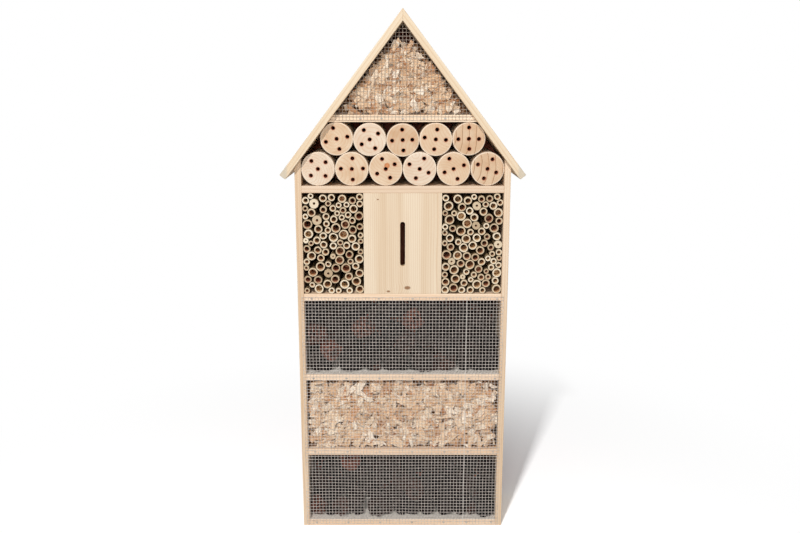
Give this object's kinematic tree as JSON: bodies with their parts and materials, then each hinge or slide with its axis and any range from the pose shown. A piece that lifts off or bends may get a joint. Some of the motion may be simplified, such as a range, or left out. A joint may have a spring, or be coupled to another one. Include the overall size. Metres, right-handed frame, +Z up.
{
  "type": "insect hotel",
  "caption": "Tall narrow timber insect house under a steep gable roof, with bays of drilled logs, bamboo canes, a slotted butterfly box, and pine cones and wood chips behind wire mesh.",
  "frame": {"origin": "on the ground, under the middle of the roof", "axes": "+Z up; the open front faces -Y; +X to the right when looking at the front"},
  "size_m": [0.45, 0.15, 1.0004],
  "materials": {
    "board_fir": "planed, untreated, sawn edges",
    "back_plywood": "thin red-brown plywood, sanded",
    "log_wood": "sawn end grain, peeled sides",
    "bamboo": "dry, satin skin, sawn ends",
    "pine_cone": "dry, dull scales",
    "wood_chips": "split, rough",
    "wire_steel": "galvanised wire",
    "fastener_steel": "galvanised nails and staples"
  },
  "bodies": {
    "root": {"left_side_board": "board_fir", "right_side_board": "board_fir", "bottom_board": "board_fir", "lower_shelf": "board_fir", "middle_shelf": "board_fir", "bamboo_shelf": "board_fir", "log_shelf": "board_fir", "gable_shelf": "board_fir", "left_roof_board": "board_fir", "right_roof_board": "board_fir", "back_panel": "back_plywood", "butterfly_front": "board_fir", "left_partition": "board_fir", "right_partition": "board_fir", "log_lower_1": "log_wood", "log_lower_2": "log_wood", "log_lower_3": "log_wood", "log_lower_4": "log_wood", "log_lower_5": "log_wood", "log_lower_6": "log_wood", "log_upper_1": "log_wood", "log_upper_2": "log_wood", "log_upper_3": "log_wood", "log_upper_4": "log_wood", "log_upper_5": "log_wood", "canes_left_1": "bamboo", "canes_left_2": "bamboo", "canes_left_3": "bamboo", "canes_left_4": "bamboo", "canes_left_5": "bamboo", "canes_left_6": "bamboo", "canes_right_1": "bamboo", "canes_right_2": "bamboo", "canes_right_3": "bamboo", "canes_right_4": "bamboo", "canes_right_5": "bamboo", "canes_right_6": "bamboo", "lower_mesh": "wire_steel", "mesh_strip": "wire_steel", "gable_mesh": "wire_steel", "mesh_staples": "fastener_steel", "lower_cones_front": "pine_cone", "lower_cones_middle": "pine_cone", "lower_cones_back": "pine_cone", "upper_cones_front": "pine_cone", "upper_cones_middle": "pine_cone", "upper_cones_back": "pine_cone", "middle_chips": "wood_chips", "middle_chip_fill": "wood_chips", "gable_chips": "wood_chips", "gable_chip_fill": "wood_chips", "shelf_nails": "fastener_steel", "roof_nails": "fastener_steel", "back_nails": "fastener_steel"}
  },
  "joints": []
}
